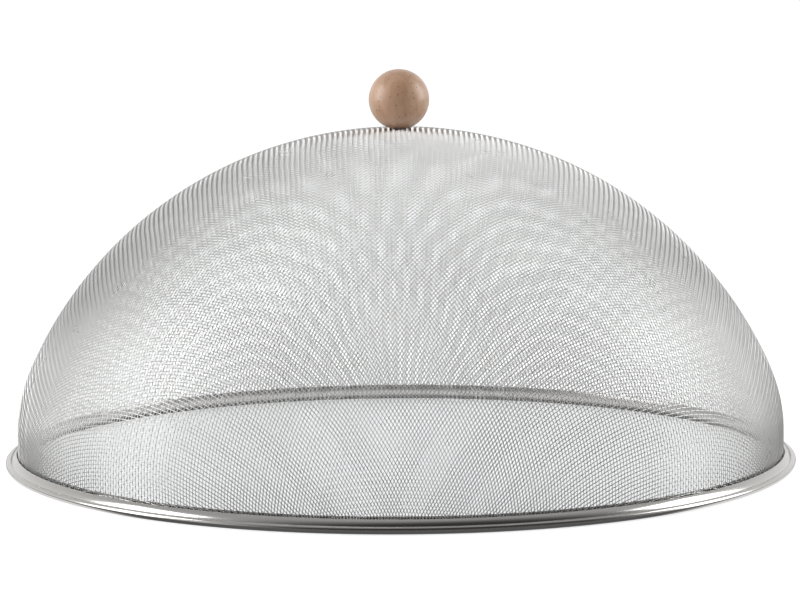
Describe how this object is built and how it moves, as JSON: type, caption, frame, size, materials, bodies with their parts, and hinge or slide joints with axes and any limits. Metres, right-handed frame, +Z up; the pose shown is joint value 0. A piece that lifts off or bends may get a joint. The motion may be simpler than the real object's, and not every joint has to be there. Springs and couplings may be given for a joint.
{
  "type": "mesh food cover dome",
  "caption": "Round domed food cover of woven stainless wire mesh, with a rolled steel rim, an inner clamp ring and a turned beech ball knob held by a screw and washer.",
  "frame": {"origin": "centre of the plane that the rim rests on", "axes": "+Z up along the axis of the dome, through the knob; +Y is the direction in which the picture looks"},
  "size_m": [0.4, 0.4, 0.1992],
  "materials": {
    "mesh_steel": "bright drawn stainless wire, woven",
    "rim_steel": "polished stainless sheet",
    "ring_steel": "cold-rolled stainless strip, mill finish",
    "beech": "turned beech, sanded, oiled",
    "fastener_steel": "plain stainless"
  },
  "bodies": {
    "root": {"mesh_warp": "mesh_steel", "mesh_weft": "mesh_steel", "rim": "rim_steel", "clamp_ring": "ring_steel", "knob": "beech", "screw": "fastener_steel", "washer": "fastener_steel"}
  },
  "joints": []
}
